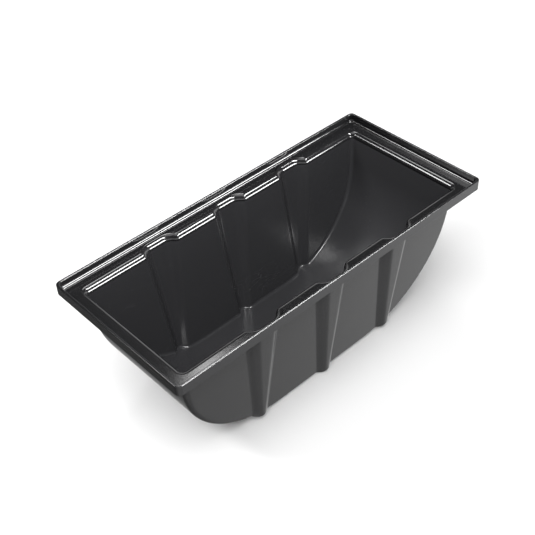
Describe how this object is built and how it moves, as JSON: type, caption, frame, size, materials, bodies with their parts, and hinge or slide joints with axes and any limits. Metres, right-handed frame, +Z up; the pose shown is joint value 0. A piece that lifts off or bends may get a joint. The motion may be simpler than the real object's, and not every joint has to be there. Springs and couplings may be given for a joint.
{
  "type": "paint roller tray",
  "caption": "Deep D-shaped paint roller tub with tapered ribs down its long walls, a flat flange round the mouth and an upright lip.",
  "frame": {"origin": "middle of the underside of the flat floor, which is also the middle of the base of the bounding box", "axes": "+Z up out of the mouth, +X along the long way of the rim, -Y is the front long wall"},
  "size_m": [0.56, 0.254, 0.216],
  "materials": {
    "tub_plastic": "moulded black plastic, glossy inside and satin outside",
    "rim_plastic": "moulded black plastic, glossy on top and satin on the outer face"
  },
  "bodies": {
    "root": {"floor": "tub_plastic", "left_end": "tub_plastic", "right_end": "tub_plastic", "front_wall": "tub_plastic", "back_wall": "tub_plastic", "front_rib_left": "tub_plastic", "front_rib_middle": "tub_plastic", "front_rib_right": "tub_plastic", "back_rib_left": "tub_plastic", "back_rib_middle": "tub_plastic", "back_rib_right": "tub_plastic", "rim_front": "rim_plastic", "rim_back": "rim_plastic", "rim_left": "rim_plastic", "rim_right": "rim_plastic"}
  },
  "joints": []
}
